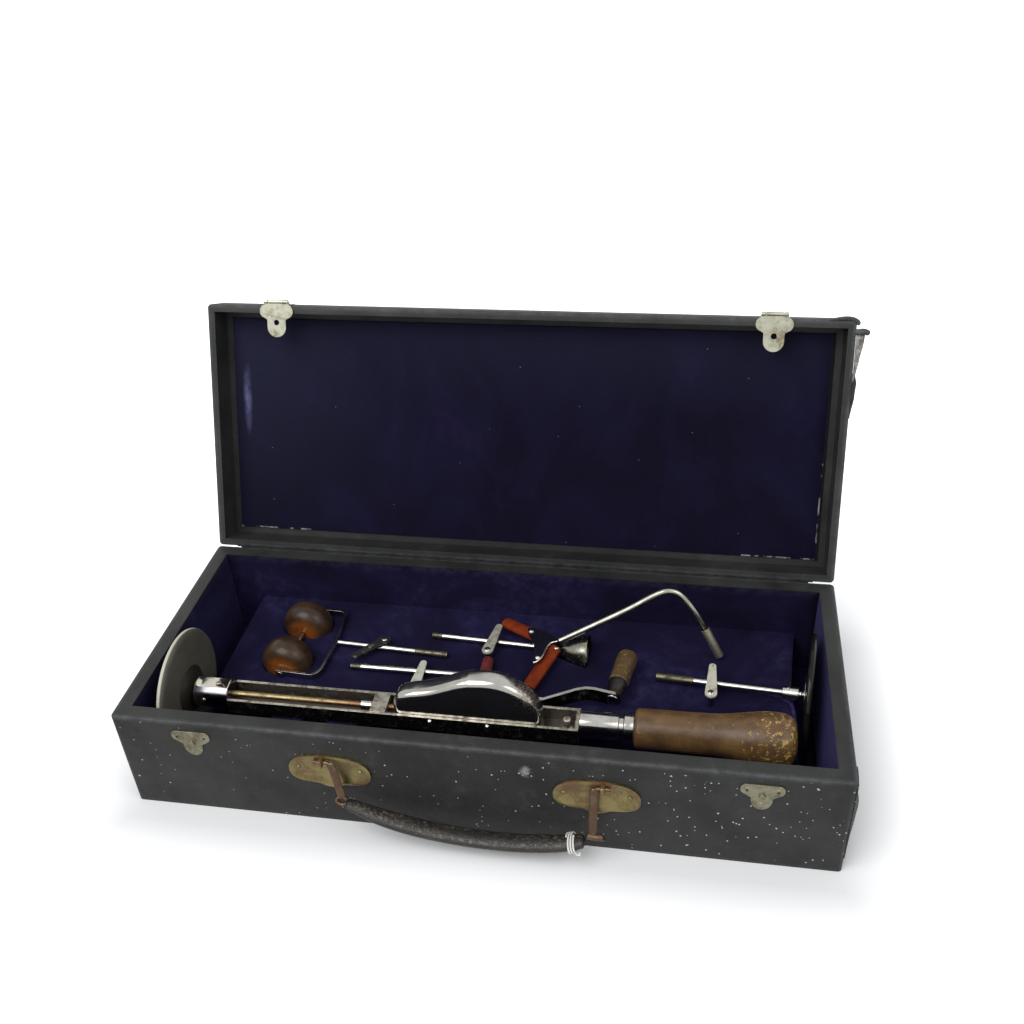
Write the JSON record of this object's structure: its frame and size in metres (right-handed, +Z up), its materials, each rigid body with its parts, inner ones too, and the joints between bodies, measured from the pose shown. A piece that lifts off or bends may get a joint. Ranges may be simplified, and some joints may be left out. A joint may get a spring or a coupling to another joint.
{
  "type": "cased hand-cranked massage vibrator",
  "caption": "Open velvet-lined case with a hinged lid and carry handle, holding a hand-cranked geared massage vibrator and its rods, rollers, cup, fork and disc.",
  "frame": {"origin": "centre of the case's underside", "axes": "+X along the case to the crank's grip end, +Y to the hinge side, +Z up"},
  "size_m": [0.48, 0.3078, 0.2642],
  "materials": {
    "leatherette": "worn grained leatherette",
    "cloth": "woven cloth",
    "board": "planed softwood",
    "velvet": "crushed velvet",
    "nickel": "polished nickel plate",
    "aged_nickel": "dulled nickel plate",
    "steel": "worn steel",
    "brass": "polished brass",
    "brown_leather": "worn leather",
    "string": "twisted cotton",
    "olive_rubber": "aged rubber",
    "red_rubber": "aged red rubber",
    "knob_wood": "varnished wood",
    "grip_brown": "mottled hard rubber",
    "roller_brown": "polished hard rubber",
    "ebonite": "polished ebonite"
  },
  "bodies": {
    "case": {"base_covering": "leatherette", "bottom_cloth": "cloth", "bottom_board": "board", "wall_boards": "board", "case_lining": "velvet", "deck_board": "board", "deck_velvet": "velvet", "deck_supports": "board", "cradle": "velvet", "catch_left": "aged_nickel", "catch_right": "aged_nickel", "handle_plate_left": "aged_nickel", "handle_plate_right": "aged_nickel", "rod_2": "nickel", "red_tip": "red_rubber", "rod_3": "nickel", "cup": "nickel", "roller_yoke": "nickel", "roller_axle": "nickel", "disc_rod": "nickel", "rod_sleeve": "aged_nickel", "dish_washer": "nickel", "ebonite_disc": "ebonite"},
    "lid": {"lid_covering": "leatherette", "lid_frame": "board", "lid_panel": "board", "lid_lining": "leatherette", "lid_pad": "velvet", "hasp_leaf_left": "aged_nickel", "hasp_leaf_right": "aged_nickel"},
    "hasp_left": {"hasp_left": "nickel"},
    "hasp_right": {"hasp_right": "nickel"},
    "handle": {"handle_loop_left": "steel", "handle_loop_right": "steel", "carry_handle": "brown_leather", "handle_string": "string"},
    "instrument": {"frame_channel": "nickel", "gear_cover": "nickel", "head": "nickel", "ferrule": "nickel", "grip": "grip_brown"},
    "crank": {"main_gear": "steel", "crank_arm": "nickel", "knob_spindle": "nickel"},
    "layshaft": {"layshaft": "steel"},
    "drive_shaft": {"drive_shaft": "brass"},
    "knob": {"crank_knob": "knob_wood"},
    "chuck": {"chuck": "olive_rubber", "disc_pad": "olive_rubber"},
    "roller_front": {"roller_front": "roller_brown"},
    "roller_back": {"roller_back": "roller_brown"},
    "turn_button_1": {"turn_button_1": "aged_nickel"},
    "turn_button_2": {"turn_button_2": "aged_nickel"},
    "turn_button_3": {"turn_button_3": "aged_nickel"},
    "turn_button_4": {"turn_button_4": "aged_nickel"},
    "fork": {"fork_plate": "nickel", "fork_pad_back": "red_rubber", "fork_pad_front": "red_rubber", "fork_tube": "nickel"}
  },
  "joints": [
    {"name": "lid_hinge", "type": "hinge", "parent": "case", "child": "lid", "pos_m": [0, 0.0955, 0.082], "axis": [-1, 0, 0], "range_deg": [-111.4, 0]},
    {"name": "hasp_left_hinge", "type": "hinge", "parent": "lid", "child": "hasp_left", "pos_m": [-0.184, 0.1661, 0.2627], "axis": [1, 0, 0], "range_deg": [-90.1, 0]},
    {"name": "hasp_right_hinge", "type": "hinge", "parent": "lid", "child": "hasp_right", "pos_m": [0.184, 0.1661, 0.2627], "axis": [1, 0, 0], "range_deg": [-90.1, 0]},
    {"name": "handle_hinge", "type": "hinge", "parent": "case", "child": "handle", "pos_m": [0, -0.0985, 0.06], "axis": [-1, 0, 0], "range_deg": [0, 150]},
    {"name": "instrument_lift", "type": "slide", "parent": "case", "child": "instrument", "axis": [0, 0, 1], "range_m": [0, 0.12]},
    {"name": "crank_turn", "type": "hinge", "parent": "instrument", "child": "crank", "pos_m": [0.005, -0.0385, 0.054], "axis": [0, -1, 0], "range_deg": [0, 160]},
    {"name": "layshaft_turn", "type": "hinge", "parent": "instrument", "child": "layshaft", "pos_m": [-0.035, -0.0385, 0.054], "axis": [0, -1, 0], "continuous": true},
    {"name": "drive_shaft_turn", "type": "hinge", "parent": "instrument", "child": "drive_shaft", "pos_m": [-0.1, -0.0385, 0.054], "axis": [1, 0, 0], "continuous": true},
    {"name": "knob_turn", "type": "hinge", "parent": "crank", "child": "knob", "pos_m": [0.087, -0.0123, 0.054], "axis": [0.165, 0.9863, 0], "continuous": true},
    {"name": "chuck_stroke", "type": "slide", "parent": "instrument", "child": "chuck", "axis": [1, 0, 0], "range_m": [-0.002, 0]},
    {"name": "roller_front_turn", "type": "hinge", "parent": "case", "child": "roller_front", "pos_m": [-0.15922, 0, 0.0437], "axis": [0.0626, 0.998, 0], "continuous": true},
    {"name": "roller_back_turn", "type": "hinge", "parent": "case", "child": "roller_back", "pos_m": [-0.15922, 0, 0.0437], "axis": [0.0626, 0.998, 0], "continuous": true},
    {"name": "fork_lift", "type": "slide", "parent": "case", "child": "fork", "axis": [0, 0, 1], "range_m": [0, 0.12]},
    {"name": "turn_button_1_turn", "type": "hinge", "parent": "case", "child": "turn_button_1", "pos_m": [-0.09, 0.0364, 0.047], "axis": [0, 0, 1], "range_deg": [-90, 90]},
    {"name": "turn_button_2_turn", "type": "hinge", "parent": "case", "child": "turn_button_2", "pos_m": [-0.056, -0.0125, 0.047], "axis": [0, 0, 1], "range_deg": [-90, 90]},
    {"name": "turn_button_3_turn", "type": "hinge", "parent": "case", "child": "turn_button_3", "pos_m": [-0.0098, 0.0319, 0.047], "axis": [0, 0, 1], "range_deg": [-80, 90]},
    {"name": "turn_button_4_turn", "type": "hinge", "parent": "case", "child": "turn_button_4", "pos_m": [0.1537, 0.0014, 0.047], "axis": [0, 0, 1], "range_deg": [-90, 90]}
  ],
  "couplings": [
    {"joint": "hasp_left_hinge", "follows": "lid_hinge", "ratio": 0.8079},
    {"joint": "hasp_right_hinge", "follows": "lid_hinge", "ratio": 0.8079},
    {"joint": "layshaft_turn", "follows": "crank_turn", "ratio": -4.3333},
    {"joint": "drive_shaft_turn", "follows": "crank_turn", "ratio": 15.6}
  ]
}
